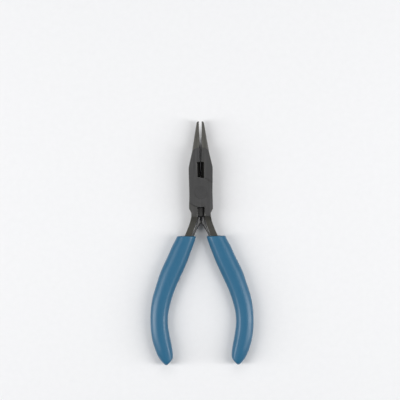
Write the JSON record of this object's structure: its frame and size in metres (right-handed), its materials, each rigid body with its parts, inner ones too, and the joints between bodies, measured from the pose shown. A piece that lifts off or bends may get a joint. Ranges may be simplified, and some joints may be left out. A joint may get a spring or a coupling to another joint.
{
  "type": "round nose pliers",
  "caption": "Small needle-nose jewellery pliers with a lap joint, cutter window, leaf springs and soft sleeve grips.",
  "frame": {"origin": "where the pivot axis meets the joint's back face, at the centre of the flush pivot rivet", "axes": "+Y towards the jaw tips, +X to the right seen from the front, +Z out of the joint's front face; the tool lies on its back"},
  "size_m": [0.051, 0.1203, 0.008],
  "materials": {
    "blackened_steel": "dark ground and blackened steel, satin",
    "spring_steel": "bright spring steel, satin",
    "rivet_steel": "ground steel, satin",
    "blue_vinyl": "soft vinyl, satin"
  },
  "bodies": {
    "front_half": {"front_half": "blackened_steel", "pivot_rivet": "rivet_steel", "right_leaf_spring": "spring_steel", "right_spring_rivet": "rivet_steel", "right_grip": "blue_vinyl"},
    "rear_half": {"rear_half": "blackened_steel", "left_leaf_spring": "spring_steel", "left_spring_rivet": "rivet_steel", "left_grip": "blue_vinyl"}
  },
  "joints": [
    {"name": "pivot", "type": "hinge", "parent": "front_half", "child": "rear_half", "pos_m": [0, 0, 0.004], "axis": [0, 0, -1], "range_deg": [-2.05, 24], "stiffness_Nm_per_rad": 0.6, "deforming": ["right_leaf_spring", "left_leaf_spring"]}
  ]
}
